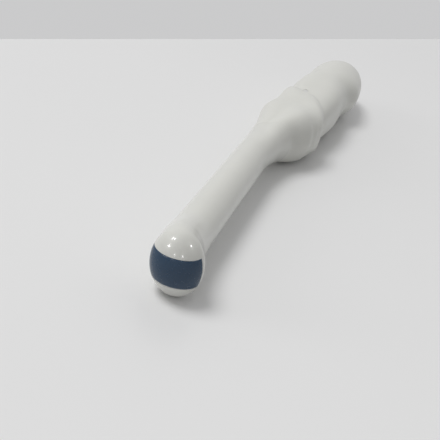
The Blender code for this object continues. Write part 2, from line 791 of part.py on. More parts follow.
def upright_screw(name, corner, seat, tip, side, finish):
    """A screw along Z whose head stands on the seat height, on the upper or the lower side."""
    profile = [(SCREW_RADIUS, tip), (SCREW_RADIUS, seat), (SCREW_HEAD_RADIUS, seat),
               (SCREW_HEAD_RADIUS, seat + SCREW_HEAD_HEIGHT)]
    rings = []
    for radius, height in profile:
        rings.append([Vector((corner[0] + radius * math.cos(2.0 * math.pi * i / SCREW_SIDES),
                              corner[1] + radius * math.sin(2.0 * math.pi * i / SCREW_SIDES),
                              side * height)) for i in range(SCREW_SIDES)])
    return loft(name, rings, finish)


def board_fixings(finish_post, finish_screw):
    seat = BOARD_HEIGHT + BOARD_THICKNESS + GAP
    for number, corner in enumerate(board_corners(SCREW_INSET), start=1):
        board_post("board_post_%d" % number, corner, finish_post)
        for label, side in (("upper", 1), ("lower", -1)):
            upright_screw("board_screw_%s_%d" % (label, number), corner, seat, GAP, side, finish_screw)


def ribbon_connector(name, side, finish):
    width, length = CONNECTOR_SIZE
    start = JOINT_AT + BOARD_START + GAP
    low, high = sorted((side * (CHASSIS_HALF_THICKNESS + GAP), side * (BOARD_HEIGHT - GAP)))
    return block(name, handle_middle(start), 0.5 * width, start, start + length, low, high, finish)


def cable_header(name, side, finish):
    width, length, height = HEADER_SIZE
    end = JOINT_AT + BOARD_END - HEADER_INSET
    seat = BOARD_HEIGHT + BOARD_THICKNESS + GAP
    low, high = sorted((side * seat, side * (seat + height)))
    return block(name, handle_middle(end), 0.5 * width, end - length, end, low, high, finish)


def handle_shield(name, side, finish):
    """A thin can that lines one shell and stands on the chassis plate."""
    start, end = JOINT_AT + CAN_START, JOINT_AT + CAN_END
    places = [start] + [y for y in hollow_places() if start + GAP < y < end - GAP] + [end]
    base = CHASSIS_HALF_THICKNESS + GAP
    build = bmesh.new()
    rings = []
    for y in places:
        skin = half_section(y, side, base, HANDLE_WALL + GAP, CAN_SIDES)
        lining = half_section(y, side, base, HANDLE_WALL + GAP + CAN_THICKNESS, CAN_SIDES)
        rings.append(skin + list(reversed(lining)))
    add_loft(build, rings)
    return finish_mesh(name, build, finish)


def clamp_screw_places():
    middle = handle_middle(JOINT_AT + CLAMP_AT)
    reach = 0.5 * (CABLE_BORE_RADIUS + CLAMP_ARCH + CLAMP_HALF_WIDTH)
    return [(middle - reach, JOINT_AT + CLAMP_AT), (middle + reach, JOINT_AT + CLAMP_AT)]


def screw_holes(name, corners, radius, low, high, finish):
    build = bmesh.new()
    for corner in corners:
        add_rod(build, corner, radius, low, high, sides=SCREW_SIDES)
    return finish_mesh(name, build, finish)


def cable_clamp(name, side, finish):
    """Half of the clamp that holds the cable: an arch between two flat ears."""
    middle = handle_middle(JOINT_AT + CLAMP_AT)
    start = JOINT_AT + CLAMP_AT - 0.5 * CLAMP_LENGTH
    near = CHASSIS_HALF_THICKNESS + GAP
    inner, outer = CABLE_BORE_RADIUS, CABLE_BORE_RADIUS + CLAMP_ARCH
    low_angle = math.asin(CLAMP_EAR / outer)
    arch_angles = spread(low_angle, math.pi - low_angle, 9)
    arch = [(outer * math.cos(a), near + outer * math.sin(a)) for a in arch_angles]
    channel = [(-inner * math.cos(a), near + inner * math.sin(a)) for a in spread(0.0, math.pi, 9)]
    section = [(CLAMP_HALF_WIDTH, near), (CLAMP_HALF_WIDTH, near + CLAMP_EAR)] + arch
    section += [(-CLAMP_HALF_WIDTH, near + CLAMP_EAR), (-CLAMP_HALF_WIDTH, near)] + channel
    rings = [[Vector((middle + x, y, side * z)) for x, z in section] for y in (start, start + CLAMP_LENGTH)]
    clamp = loft(name, rings, finish)
    reach = near + 2.0 * CLAMP_EAR
    low, high = sorted((0.0, side * reach))
    cut(clamp, screw_holes(name + "_holes", clamp_screw_places(), SCREW_RADIUS + GAP, low, high, finish))
    return clamp


def clamp_screws(finish):
    seat = CHASSIS_HALF_THICKNESS + CLAMP_EAR + 2.0 * GAP
    for number, corner in enumerate(clamp_screw_places(), start=1):
        upright_screw("clamp_screw_%d" % number, corner, seat, -seat, 1, finish)


# Cable inlet

def cable_gland(finish):
    face = tail_face() + GAP
    tail = tail_face() - TAIL_WALL - 2.0 * GAP - LOCK_RING_THICKNESS - GLAND_TAIL
    profile = [(GLAND_NECK_RADIUS, tail), (GLAND_NECK_RADIUS, face), (GLAND_FLANGE_RADIUS, face),
               (GLAND_FLANGE_RADIUS, face + GLAND_FLANGE_THICKNESS),
               (CABLE_BORE_RADIUS, face + GLAND_FLANGE_THICKNESS), (CABLE_BORE_RADIUS, tail)]
    return turned_ring("cable_gland", inlet_offset(), profile, finish)


def gland_lock_ring(finish):
    end = tail_face() - TAIL_WALL - GAP
    start = end - LOCK_RING_THICKNESS
    inner = inlet_hole_radius()
    profile = [(LOCK_RING_RADIUS, start), (LOCK_RING_RADIUS, end), (inner, end), (inner, start)]
    return turned_ring("gland_lock_ring", inlet_offset(), profile, finish)


# Orientation marker

def marker_frame():
    """Matrix from the marker's own axes: Z out of the handle's surface, Y along the probe."""
    y = JOINT_AT + MARKER_AT
    step = 0.0005
    centre = handle_point(y, MARKER_ANGLE)
    along = (handle_point(y + step, MARKER_ANGLE) - handle_point(y - step, MARKER_ANGLE)).normalized()
    around = (handle_point(y, MARKER_ANGLE + 0.05) - handle_point(y, MARKER_ANGLE - 0.05)).normalized()
    normal = around.cross(along).normalized()
    if normal.dot(centre - Vector((handle_middle(y), y, 0.0))) < 0.0:
        normal = -normal
    side = along.cross(normal).normalized()
    turn = Matrix((side, along, normal)).transposed()
    return Matrix.Translation(centre) @ turn.to_4x4()


def marker_oval(name, grow, low, high, finish):
    build = bmesh.new()
    rings = []
    for z in (low, high):
        rings.append([Vector(((MARKER_HALF_WIDTH + grow) * math.cos(2.0 * math.pi * i / SMALL_ROUND),
                              (MARKER_HALF_LENGTH + grow) * math.sin(2.0 * math.pi * i / SMALL_ROUND), z))
                      for i in range(SMALL_ROUND)])
    add_loft(build, rings)
    build.transform(marker_frame())
    return finish_mesh(name, build, finish)


def orientation_marker(shell, finish):
    """An oval inlay in a pocket of the upper shell."""
    pocket = marker_oval("marker_pocket", GAP, -MARKER_DEPTH - GAP, MARKER_DEPTH, finish)
    cut(shell, pocket)
    return marker_oval("orientation_marker", 0.0, -MARKER_DEPTH, -MARKER_SINK, finish)


# Resting place

def rest_matrix(pieces):
    """Roll and tilt the probe so that nose and handle both touch z = 0, centred on its box."""
    points = [vertex.co.copy() for piece in pieces for vertex in piece.data.vertices]
    roll = Matrix.Rotation(REST_ROLL, 4, "Y")
    rolled = [roll @ point for point in points]
    tilt = 0.0
    for _ in range(12):
        turned = Matrix.Rotation(tilt, 4, "X")
        front = min((turned @ p for p in rolled if p.y < NECK_END), key=lambda p: p.z)
        rear = min((turned @ p for p in rolled if p.y > JOINT_AT), key=lambda p: p.z)
        tilt += math.atan2(front.z - rear.z, rear.y - front.y)
    both = Matrix.Rotation(tilt, 4, "X") @ roll
    placed = [both @ point for point in points]
    low = [min(point[axis] for point in placed) for axis in range(3)]
    high = [max(point[axis] for point in placed) for axis in range(3)]
    shift = Vector((-0.5 * (low[0] + high[0]), -0.5 * (low[1] + high[1]), -low[2]))
    return Matrix.Translation(shift) @ both


def lay_down(matrix):
    rest = bpy.data.objects.new("resting_pose", None)
    bpy.context.collection.objects.link(rest)
    rest.matrix_world = matrix
    for item in bpy.data.objects:
        if item.type == "MESH":
            item.parent = rest


def main():
    clear_scene()
    housing = insertion_housing(WHITE_PLASTIC)
    upper = handle_shell("handle_upper_shell", 1, WHITE_PLASTIC)
    lower = handle_shell("handle_lower_shell", -1, WHITE_PLASTIC)
    acoustic_lens(LENS_SILICONE)
    arc_strip("matching_layer_outer", outer_matching_radius(), MATCHING_THICKNESS, OUTER_EPOXY)
    arc_strip("matching_layer_inner", inner_matching_radius(), MATCHING_THICKNESS, INNER_EPOXY)
    piezo_array(PIEZO_CERAMIC)
    backing_block(BACKING_RUBBER)
    temperature_sensor(SENSOR_EPOXY)
    for label, side in (("upper", 1), ("lower", -1)):
        flex_circuit("flex_circuit_" + label, side, FLEX_POLYIMIDE)
        lead_ribbon("lead_ribbon_" + label, side, RIBBON_JACKET)
        interconnect_board("interconnect_board_" + label, side, BOARD_LAMINATE)
        ribbon_connector("ribbon_connector_" + label, side, CONNECTOR_PLASTIC)
        cable_header("cable_header_" + label, side, HEADER_PLASTIC)
        handle_shield("handle_shield_" + label, side, SHIELD_COPPER)
    array_carrier(ALUMINIUM)
    heat_bar(ALUMINIUM)
    tube_shield(SHIELD_COPPER)
    tube_seal(SEAL_RUBBER)
    handle_chassis(ALUMINIUM)
    board_fixings(TURNED_BRASS, SCREW_STEEL)
    clamp_screws(SCREW_STEEL)
    cable_clamp("cable_clamp_cap", 1, CLAMP_PLASTIC)
    cable_clamp("cable_clamp_base", -1, CLAMP_PLASTIC)
    gland = cable_gland(GLAND_PLASTIC)
    gland_lock_ring(TURNED_BRASS)
    orientation_marker(upper, MARKER_PLASTIC)
    lay_down(rest_matrix([housing, upper, lower, gland]))


main()
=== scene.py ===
"""Looks of the endocavity ultrasound probe: fine shells, materials, floor, light and camera.

The visible skins are built here at a finer resolution than the CAD solids that they replace, from the
same driving dimensions, in metres. The probe frame has +Y from the nose to the cable inlet with zero at
the nose's widest section, +X to the belly's side and +Z across the imaging plane.
"""

import math

import bmesh
import bpy
from mathutils import Matrix, Vector


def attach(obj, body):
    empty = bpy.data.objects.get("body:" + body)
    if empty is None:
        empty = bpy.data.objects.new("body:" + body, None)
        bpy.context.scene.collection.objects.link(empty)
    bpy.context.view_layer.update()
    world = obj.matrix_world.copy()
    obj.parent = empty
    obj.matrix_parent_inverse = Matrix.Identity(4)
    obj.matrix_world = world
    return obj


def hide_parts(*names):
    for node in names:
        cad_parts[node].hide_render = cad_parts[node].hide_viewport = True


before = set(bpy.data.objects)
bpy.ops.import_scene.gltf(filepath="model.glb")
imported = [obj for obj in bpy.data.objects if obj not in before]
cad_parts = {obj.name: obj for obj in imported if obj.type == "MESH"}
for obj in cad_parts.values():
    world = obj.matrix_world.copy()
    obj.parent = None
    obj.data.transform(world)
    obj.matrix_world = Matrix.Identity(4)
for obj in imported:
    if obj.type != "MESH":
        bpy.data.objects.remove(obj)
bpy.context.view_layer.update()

# Where the probe lies in the row's frame
REST_ROLL = math.radians(-4.5)
REST_TILT = 0.0036791
PROBE_ORIGIN = (-0.013038, -0.151028, 0.015217)

# Nose, neck and tube
HEAD_HALF_WIDTH = 0.0115
HEAD_HALF_HEIGHT = 0.0155
NOSE_DEPTH = 0.0085
HEAD_OFFSET = 0.0030
NECK = (                        # (place, offset, half depth, half thickness)
    (0.0050, 0.0019, 0.0105, 0.0149), (0.0105, 0.0008, 0.0100, 0.0133))
NECK_END = 0.0260
NECK_WALL = 0.0006              # over the array's carrier
TUBE_RADIUS = 0.0096
HOUSING_WALL = 0.0022
FLARE_LENGTH = 0.0100
JOINT_AT = 0.1420
JOINT_RADIUS = 0.0108
JOINT_OFFSET = 0.0005
SPIGOT_RADIUS = 0.0084
SPIGOT_LENGTH = 0.0140

# Handle: (place behind the joint, offset, half depth, half thickness)
HANDLE_MARKS = (
    (0.0120, 0.0029, 0.0131, 0.0127),
    (0.0240, 0.0034, 0.0160, 0.0140),
    (0.0360, 0.0080, 0.0169, 0.0147),
    (0.0460, 0.0102, 0.0182, 0.0165),
    (0.0530, 0.0103, 0.0176, 0.0161),
    (0.0590, 0.0110, 0.0152, 0.0144),
    (0.0680, 0.0116, 0.0168, 0.0150),
    (0.0840, 0.0136, 0.0181, 0.0165),
    (0.1000, 0.0139, 0.0187, 0.0170),
    (0.1180, 0.0179, 0.0209, 0.0175),
)
RIM_AT = 0.0530                 # the belly's rear rim, and the foot behind it
RIM_FOOT_AT = 0.0590
RIM_SLANT = 0.0200              # how far the rim leads on the belly's side and trails on the other
SLANT_END = 0.1050
SWELL = 0.0065                  # how far the grip swells on the belly's side, ahead of the belly
SWELL_PLACES = (0.1080, 0.1590, 0.1900)  # its start, peak and end
SWELL_LEANS = (-0.1, 0.8)       # cosines of the angles from which it grows, and at which it is full
SWELL_LEVEL = 0.0100            # how far the swell's curve runs on, level, behind its end
BELLY_FULLNESS = 3.0            # exponent of the belly's sections, between these places
FULL_FROM = 0.0460
FULL_TO = 0.0680
TAIL_OFFSET = 0.0178
TAIL_LENGTH = 0.0520
TAIL_FULLNESS = 2.6
TAIL_FLAT_RADIUS = 0.0090
HANDLE_WALL = 0.0022
REAR_WALL = 0.0030              # round the gland
FIT_GAP = 0.0003                # between a shell and what it holds

# Lens band
LENS_HALF_HEIGHT = 0.0070
LENS_RIM = 0.0015
LENS_DEPTH = 0.0012             # thickness of the lens skin that is modelled
LENS_EDGE_RADIUS = 0.00022
LENS_END_GAP = 0.006            # share of the way round the nose that stays free at each end
GLUE_WIDTH = 0.00028            # of the bead between lens and housing
GLUE_SINK = 0.10                # how deep the bead lies, as a share of its width
GLUE_REACH = 0.62               # how far it spreads to each side, likewise

# Cable gland and marker
CABLE_BORE_RADIUS = 0.0036
GLAND_NECK_RADIUS = 0.0056
GLAND_FLANGE_RADIUS = 0.0076
GLAND_FLANGE_THICKNESS = 0.0020
GLAND_LENGTH = 0.0094
GLAND_CHAMFER = 0.0002
GLAND_EDGE_RADIUS = 0.0007
MARKER_AT = 0.0618
MARKER_ANGLE = math.radians(95.5)
MARKER_HALF_LENGTH = 0.0026
MARKER_HALF_WIDTH = 0.0018
MARKER_DEPTH = 0.0009
MARKER_LEVELS = (               # how much the oval grows at each height of its rounded edge
    (0.0, -MARKER_DEPTH), (0.0, -0.00025), (-0.00008, -0.00012), (-0.00025, -0.00005), (-0.0006, 0.0),
    (-0.0011, 0.00003))
MARKER_TOP = 0.00004
POCKET_GAP = 0.00008            # round the marker
POCKET_SPARE = 0.0002           # under it

# Fine gaps that show as seams
SEAM = 0.00003
JOINT_GAP = 0.00001

# Facets
SIDES = 128
DOME_STEPS = 28
NECK_START = 0.0005             # first ring behind the nose's widest section, outside and inside
INNER_START = 0.0015
NECK_ROWS = 30
INNER_NECK_ROWS = 10
TUBE_ROWS = 64
HANDLE_ROWS = 72
TAIL_ROWS = 24
LENS_ROWS = 25
LENS_COLUMNS = 61
GLUE_STEPS = 48                 # along each long side of the lens
GLUE_END_STEPS = 16
GLUE_SIDES = 8
MARKER_SIDES = 64
GLAND_SIDES = 96
SHARP_ANGLE = math.radians(40.0)
FINE_STEP = 0.0003              # first ring beside the joint, so that the skins meet smoothly

# Camera, in the probe frame
CAMERA_PLACE = (0.0647, -0.1936, 0.1445)
CAMERA_RIGHT = (0.9330, 0.3250, 0.1544)
CAMERA_UP = (-0.2956, 0.4476, 0.8440)
FOCAL_PIXELS = 624.0
PICTURE_SIZE = 440.0
SENSOR_WIDTH = 36.0
TABLE_EDGE_ROW = 39.0           # picture row at which the table ends and the wall starts


def probe_to_world():
    """Matrix that lays the probe down as it rests."""
    turn = Matrix.Rotation(REST_TILT, 4, "X") @ Matrix.Rotation(REST_ROLL, 4, "Y")
    return Matrix.Translation(PROBE_ORIGIN) @ turn


TO_WORLD = probe_to_world()


# Outline of the probe

def smooth_value(knots, x):
    """Value at x of the smooth curve through (place, value) knots, without overshoot between them."""
    places = [knot[0] for knot in knots]
    values = [knot[1] for knot in knots]
    if x <= places[0]:
        return values[0]
    if x >= places[-1]:
        return values[-1]
    steps = [b - a for a, b in zip(places, places[1:])]
    slopes = [(b - a) / step for a, b, step in zip(values, values[1:], steps)]
    tangents = [0.0]
    for before, after, left, right in zip(slopes, slopes[1:], steps, steps[1:]):
        if before * after <= 0.0:
            tangents.append(0.0)
        else:
            first = 2.0 * right + left
            second = right + 2.0 * left
            tangents.append((first + second) / (first / before + second / after))
    tangents.append(slopes[-1])
    k = max(i for i, place in enumerate(places[:-1]) if place <= x)
    t = (x - places[k]) / steps[k]
    keep = (1.0 + 2.0 * t) * (1.0 - t) ** 2
    lean = t * (1.0 - t) ** 2
    gain = t * t * (3.0 - 2.0 * t)
    pull = t * t * (t - 1.0)
    return (keep * values[k] + lean * steps[k] * tangents[k]
            + gain * values[k + 1] + pull * steps[k] * tangents[k + 1])


def stations():
    """(place, offset, half depth, half thickness) from the nose's widest section to the tail."""
    rows = [
        (0.0, HEAD_OFFSET, HEAD_HALF_WIDTH, HEAD_HALF_HEIGHT),
        *NECK,
        (NECK_END, 0.0, TUBE_RADIUS, TUBE_RADIUS),
        (JOINT_AT - FLARE_LENGTH, 0.0, TUBE_RADIUS, TUBE_RADIUS),
        (JOINT_AT, JOINT_OFFSET, JOINT_RADIUS - JOINT_OFFSET, JOINT_RADIUS),
    ]
    rows += [(JOINT_AT + at, *rest) for at, *rest in HANDLE_MARKS]
    rows.append((JOINT_AT + bulb_at() + TAIL_LENGTH, TAIL_OFFSET, *HANDLE_MARKS[-1][2:]))
    return rows


def bulb_at():
    """Place of the rear bulb's widest section behind the joint."""
    return HANDLE_MARKS[-1][0]


STATIONS = stations()


def outline(y):
    """Offset, half depth and half thickness of the outer surface at y."""
    offset, depth, thickness = (
        smooth_value([(row[0], row[column]) for row in STATIONS], y) for column in (1, 2, 3))
    past_bulb = (y - JOINT_AT - bulb_at()) / TAIL_LENGTH
    if past_bulb > 0.0:
        shrink = (1.0 - past_bulb ** TAIL_FULLNESS) ** (1.0 / TAIL_FULLNESS)
        depth *= shrink
        thickness *= shrink
    return offset, depth, thickness


def tail_face():
    """Place of the flat face at the handle's rear end."""
    small = TAIL_FLAT_RADIUS / HANDLE_MARKS[-1][3]
    share = (1.0 - small ** TAIL_FULLNESS) ** (1.0 / TAIL_FULLNESS)
    return JOINT_AT + bulb_at() + TAIL_LENGTH * share


def slant(y):
    """How far the section at y runs forward on the belly's side, and back on the other side."""
    knots = [(JOINT_AT, 0.0), (JOINT_AT + RIM_AT, RIM_SLANT), (JOINT_AT + RIM_FOOT_AT, RIM_SLANT),
             (JOINT_AT + SLANT_END, 0.0), (JOINT_AT + bulb_at(), 0.0)]
    return smooth_value(knots, y)


def fullness(y):
    """Exponent of the handle's section at y, 2 for a plain ellipse."""
    knots = [(JOINT_AT, 2.0), (JOINT_AT + FULL_FROM, BELLY_FULLNESS), (JOINT_AT + FULL_TO, BELLY_FULLNESS),
             (JOINT_AT + bulb_at(), 2.0), (JOINT_AT + bulb_at() + TAIL_LENGTH, 2.0)]
    return smooth_value(knots, y)


def swell(y, lean):
    """Extra growth of the section at y, towards the belly's side."""
    start, peak, end = SWELL_PLACES
    along = smooth_value([(start, 0.0), (peak, 1.0), (end, 0.0), (end + SWELL_LEVEL, 0.0)], y)
    first, full = SWELL_LEANS
    share = min(1.0, max(0.0, (lean - first) / (full - first)))
    return SWELL * along * share * share * (3.0 - 2.0 * share)


def skin_point(y, angle, inset=0.0):
    """Point of the section at y, or of the one that lies the inset deeper; the handle's are slanted."""
    offset, depth, thickness = outline(y)
    power = 2.0 / fullness(y)
    lean, rise = math.cos(angle), math.sin(angle)
    across = math.copysign(abs(lean) ** power, lean)
    height = math.copysign(abs(rise) ** power, rise)
    growth = swell(y, lean)
    return Vector((offset + (depth - inset) * across + growth * lean, y - slant(y) * lean,
                   (thickness - inset) * height + growth * rise))


def spread(start, end, count):
    """Evenly spaced numbers, both ends among them."""
    return [start + (end - start) * i / (count - 1) for i in range(count)]


def ellipse(y, offset, depth, thickness, sides=SIDES, turn=2.0 * math.pi, closed=True):
    """Points of an upright ellipse at y, or of the part of it that the turn covers."""
    count = sides if closed else sides + 1
    points = []
    for i in range(count):
        angle = turn * i / sides
        points.append(Vector((offset + depth * math.cos(angle), y, thickness * math.sin(angle))))
    return points


def outline_ring(y, inset=0.0):
    return [skin_point(y, 2.0 * math.pi * i / SIDES, inset) for i in range(SIDES)]


def nose_rings(steps, inset=0.0):
    """Sections of the nose's dome from its tip to its widest one."""
    rings = []
    for i in range(1, steps + 1):
        angle = 0.5 * math.pi * i / steps
        across = math.sin(angle)
        rings.append(ellipse(-(NOSE_DEPTH - inset) * math.cos(angle), HEAD_OFFSET,
                             (HEAD_HALF_WIDTH - inset) * across, (HEAD_HALF_HEIGHT - inset) * across))
    return rings


# Mesh tools

def add_rings(build, rings, wrap=True):
    """Skin rings of equal count and give back their loops of vertices."""
    loops = [[build.verts.new(point) for point in ring] for ring in rings]
    for near, far in zip(loops, loops[1:]):
        count = len(near)
        for i in range(count if wrap else count - 1):
            j = (i + 1) % count
            build.faces.new((near[i], near[j], far[j], far[i]))
    return loops


def add_tip(build, loop, tip):
    """Close a loop with a fan of faces round its tip."""
    point = build.verts.new(tip)
    for i in range(len(loop)):
        build.faces.new((loop[i], loop[(i + 1) % len(loop)], point))


def join_ends(build, first, last):
    """Close a tube on itself."""
    for i in range(len(first)):
        j = (i + 1) % len(first)
        build.faces.new((last[i], last[j], first[j], first[i]))


def make_piece(name, build, slot, replaced=()):
    """Object in the row's frame from a mesh in the probe frame; it rides on the one body."""
    bmesh.ops.recalc_face_normals(build, faces=build.faces)
    mesh = bpy.data.meshes.new(name)
    build.to_mesh(mesh)
    build.free()
    mesh.transform(TO_WORLD)
    mesh.shade_smooth()
    mesh.set_sharp_from_angle(angle=SHARP_ANGLE)
    piece = bpy.data.objects.new(name, mesh)
    bpy.context.scene.collection.objects.link(piece)
    if slot:
        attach(piece, "root")
    if replaced:
        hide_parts(*replaced)
    return piece


def carve(piece, cutter):
    """Cut a piece with another one, keep the result as plain mesh and throw the cutter away."""
    step = piece.modifiers.new("carve", "BOOLEAN")
    step.operation = "DIFFERENCE"
    step.solver = "EXACT"
    step.object = cutter
    carved = piece.evaluated_get(bpy.context.evaluated_depsgraph_get())
    mesh = bpy.data.meshes.new_from_object(carved)
    piece.modifiers.clear()
    piece.data = mesh
    mesh.shade_smooth()
    mesh.set_sharp_from_angle(angle=SHARP_ANGLE)
    bpy.data.objects.remove(cutter, do_unlink=True)


# Insertion housing

def housing_piece():
    """Nose, neck and tube in one closed skin with its bore, and the lens's window cut into it."""
    outer = nose_rings(DOME_STEPS)
    outer += [outline_ring(y) for y in spread(NECK_START, NECK_END, NECK_ROWS)]
    outer += [outline_ring(y) for y in spread(NECK_END, JOINT_AT - FINE_STEP, TUBE_ROWS)[1:]]
    outer.append(outline_ring(JOINT_AT))
    bore_radius = TUBE_RADIUS - HOUSING_WALL
    inner = [ellipse(JOINT_AT, 0.0, SPIGOT_RADIUS, SPIGOT_RADIUS),
             ellipse(JOINT_AT + SPIGOT_LENGTH, 0.0, SPIGOT_RADIUS, SPIGOT_RADIUS),
             ellipse(JOINT_AT + SPIGOT_LENGTH, 0.0, bore_radius, bore_radius)]
    inner += [outline_ring(y, NECK_WALL) for y in reversed(spread(INNER_START, NECK_END, INNER_NECK_ROWS))]
    inner += list(reversed(nose_rings(DOME_STEPS // 2, HOUSING_WALL)))
    build = bmesh.new()
    loops = add_rings(build, outer + inner)
    add_tip(build, loops[0], Vector((HEAD_OFFSET, -NOSE_DEPTH, 0.0)))
    add_tip(build, loops[-1], Vector((HEAD_OFFSET, -NOSE_DEPTH + HOUSING_WALL, 0.0)))
    piece = make_piece("housing_skin", build, "housing_plastic", ["insertion_housing"])
    carve(piece, window_cutter())
    return piece


def window_cutter():
    """Block that takes away the nose's skin where the lens and its bead lie."""
    reach = 2.0 * HEAD_HALF_WIDTH
    back = -LENS_RIM + 0.5 * GLUE_WIDTH
    top = LENS_HALF_HEIGHT + 0.5 * GLUE_WIDTH
    build = bmesh.new()
    bmesh.ops.create_cube(build, size=1.0)
    length = back + 2.0 * NOSE_DEPTH
    build.transform(Matrix.Translation((HEAD_OFFSET, back - 0.5 * length, 0.0))
                    @ Matrix.Diagonal((2.0 * reach, length, 2.0 * top, 1.0)))
    return make_piece("window_cutter", build, None)


# Lens band

def lens_point(across, along, inset):
    """Point of the nose's ellipsoid: height by across (-1 to 1), way round the nose by along (0 to 1)."""
    z = LENS_HALF_HEIGHT * across
    share = math.sqrt(1.0 - (z / HEAD_HALF_HEIGHT) ** 2)
    half_width, depth = HEAD_HALF_WIDTH * share, NOSE_DEPTH * share
    first = math.asin(LENS_RIM / depth)
    angle = math.pi - first - (math.pi - 2.0 * first) * along
    point = Vector((HEAD_OFFSET + half_width * math.cos(angle), -depth * math.sin(angle), z))
    normal = Vector(((point.x - HEAD_OFFSET) / HEAD_HALF_WIDTH ** 2, point.y / NOSE_DEPTH ** 2,
                     z / HEAD_HALF_HEIGHT ** 2)).normalized()
    return point - normal * inset


def eased(count):
    """Shares from 0 to 1, with close steps at both ends for the rounded edges."""
    fine = (0.0, 0.004, 0.012, 0.030)
    middle = spread(0.06, 0.94, count)
    return list(fine) + middle + [1.0 - value for value in reversed(fine)]


def edge_drop(share, length):
    """How far a point at that share of a side lies under the surface, close to the side's ends."""
    reach = min(share, 1.0 - share) * length
    if reach >= LENS_EDGE_RADIUS:
        return 0.0
    return LENS_EDGE_RADIUS - math.sqrt(LENS_EDGE_RADIUS ** 2 - (LENS_EDGE_RADIUS - reach) ** 2)


def lens_piece():
    """The band with its rounded edges, closed at the back."""
    ups = eased(LENS_ROWS)
    alongs = eased(LENS_COLUMNS)
    arc = math.pi * 0.5 * (HEAD_HALF_WIDTH + NOSE_DEPTH)
    margin = 0.5 * GLUE_WIDTH / LENS_HALF_HEIGHT
    build = bmesh.new()

    def grid(depth_of):
        rows = []
        for u in ups:
            row = []
            for v in alongs:
                across = (2.0 * u - 1.0) * (1.0 - margin)
                along = LENS_END_GAP + (1.0 - 2.0 * LENS_END_GAP) * v
                row.append(build.verts.new(lens_point(across, along, depth_of(u, v))))
            rows.append(row)
        return rows

    def skin(rows):
        for near, far in zip(rows, rows[1:]):
            for i in range(len(near) - 1):
                build.faces.new((near[i], near[i + 1], far[i + 1], far[i]))

    front = grid(lambda u, v: max(edge_drop(u, 2.0 * LENS_HALF_HEIGHT), edge_drop(v, arc)))
    back = grid(lambda u, v: LENS_DEPTH)
    skin(front)
    skin(back)
    for rim_front, rim_back in zip(border(front), border(back)):
        for i in range(len(rim_front) - 1):
            build.faces.new((rim_front[i], rim_front[i + 1], rim_back[i + 1], rim_back[i]))
    return make_piece("lens_skin", build, "lens_silicone", ["acoustic_lens"])


def border(rows):
    """The four sides of a grid of vertices."""
    left = [row[0] for row in rows]
    right = [row[-1] for row in rows]
    return rows[0], right, rows[-1], left


def glue_bead():
    """The thin bead of adhesive in the gap round the lens."""
    edge = 1.0 + 0.25 * GLUE_WIDTH / LENS_HALF_HEIGHT
    path = [(-edge, i / GLUE_STEPS) for i in range(GLUE_STEPS)]
    path += [(-edge + 2.0 * edge * i / GLUE_END_STEPS, 1.0) for i in range(GLUE_END_STEPS)]
    path += [(edge, 1.0 - i / GLUE_STEPS) for i in range(GLUE_STEPS)]
    path += [(edge - 2.0 * edge * i / GLUE_END_STEPS, 0.0) for i in range(GLUE_END_STEPS)]
    sink = GLUE_SINK * GLUE_WIDTH
    points = [lens_point(across, along, sink) for across, along in path]
    deeper = [lens_point(across, along, sink + 0.5 * LENS_DEPTH) for across, along in path]
    rings = []
    count = len(points)
    for i in range(count):
        ahead = (points[(i + 1) % count] - points[i - 1]).normalized()
        down = (deeper[i] - points[i]).normalized()
        side = ahead.cross(down).normalized()
        middle = points[i] + down * 0.5 * GLUE_WIDTH
        rings.append([middle + side * (GLUE_REACH * GLUE_WIDTH * math.cos(2.0 * math.pi * k / GLUE_SIDES))
                      + down * (0.5 * GLUE_WIDTH * math.sin(2.0 * math.pi * k / GLUE_SIDES))
                      for k in range(GLUE_SIDES)])
    build = bmesh.new()
    loops = add_rings(build, rings)
    join_ends(build, loops[0], loops[-1])
    return make_piece("lens_glue_bead", build, "housing_plastic")


# Handle shells

def handle_rows():
    """Places of the sections along the handle: even steps, then closer ones on the tail's dome."""
    bulb = JOINT_AT + bulb_at()
    places = [JOINT_AT + JOINT_GAP] + spread(JOINT_AT + FINE_STEP, bulb, HANDLE_ROWS)
    last = math.asin((tail_face() - bulb) / TAIL_LENGTH)
    places += [bulb + TAIL_LENGTH * math.sin(last * i / TAIL_ROWS) for i in range(1, TAIL_ROWS + 1)]
    return places


def shell_piece(name, side, replaced):
    """Upper (1) or lower (-1) half of the handle, hollow, with its share of the socket and gland hole."""
    seam = side * 0.5 * SEAM
    rows = handle_rows()

    def half_ring(y, inset=0.0):
        points = [skin_point(y, side * angle, inset) for angle in spread(0.0, math.pi, SIDES // 2 + 1)]
        points[0].z = points[-1].z = seam
        return points

    def round_half(y, centre, radius):
        points = ellipse(y, centre, radius, radius, SIDES // 2, turn=side * math.pi, closed=False)
        points[0].z = points[-1].z = seam
        return points

    outer = [half_ring(y) for y in rows]
    socket = SPIGOT_RADIUS + FIT_GAP
    inner = [round_half(y, 0.0, socket) for y in (rows[0], JOINT_AT + SPIGOT_LENGTH)]
    inner += [half_ring(y, HANDLE_WALL) for y in rows[12:-3:3]]
    hole = GLAND_NECK_RADIUS + FIT_GAP
    inner += [round_half(y, outline(tail_face())[0], hole) for y in (tail_face() - REAR_WALL, tail_face())]
    build = bmesh.new()
    outer_loops = add_rings(build, outer, wrap=False)
    inner_loops = add_rings(build, inner, wrap=False)
    for end in (0, -1):
        first, second = outer_loops[end], inner_loops[end]
        for i in range(len(first) - 1):
            build.faces.new((first[i], first[i + 1], second[i + 1], second[i]))
    for edge in (0, -1):
        build.faces.new([loop[edge] for loop in outer_loops]
                        + [loop[edge] for loop in reversed(inner_loops)])
    return make_piece(name, build, "shell_plastic", replaced)


# Marker and gland

